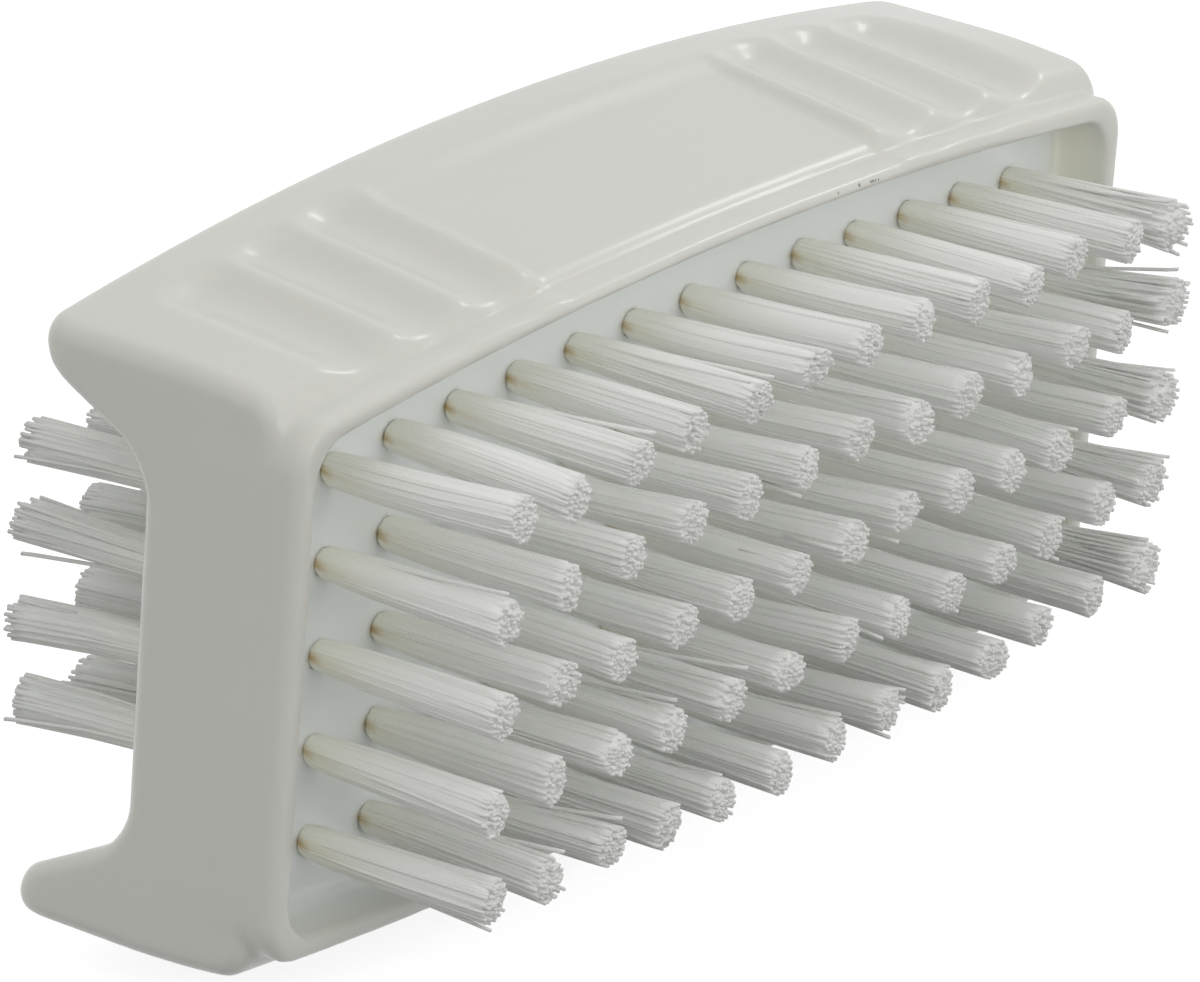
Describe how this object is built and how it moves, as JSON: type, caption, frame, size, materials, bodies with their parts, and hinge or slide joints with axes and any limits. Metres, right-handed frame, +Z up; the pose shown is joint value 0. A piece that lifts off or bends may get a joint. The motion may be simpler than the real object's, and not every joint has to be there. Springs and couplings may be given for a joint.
{
  "type": "nail brush",
  "caption": "Double-sided white plastic nail brush with a lipped field of tufts in front, another field between wings behind, and finger grips on its bowed sides.",
  "frame": {"origin": "centre of the underside of the bounding box, where the brush stands on its lower long side", "axes": "+X along the length, -Y towards the tips of the longer front field of tufts, +Z up; the mid-plane of the brush leans 8.8 degrees, so that its flared lower side lies flat"},
  "size_m": [0.096, 0.0416, 0.0478],
  "materials": {
    "body": "glossy warm white moulded plastic",
    "bristle": "translucent white nylon filament",
    "staple": "flat drawn wire"
  },
  "bodies": {
    "root": {"body": "body", "front_tufts_1": "bristle", "front_tufts_2": "bristle", "front_tufts_3": "bristle", "front_tufts_4": "bristle", "front_tufts_5": "bristle", "back_tufts_1": "bristle", "back_tufts_2": "bristle", "back_tufts_3": "bristle", "back_tufts_4": "bristle", "front_staples_1": "staple", "front_staples_2": "staple", "front_staples_3": "staple", "front_staples_4": "staple", "front_staples_5": "staple", "back_staples_1": "staple", "back_staples_2": "staple", "back_staples_3": "staple", "back_staples_4": "staple"}
  },
  "joints": []
}
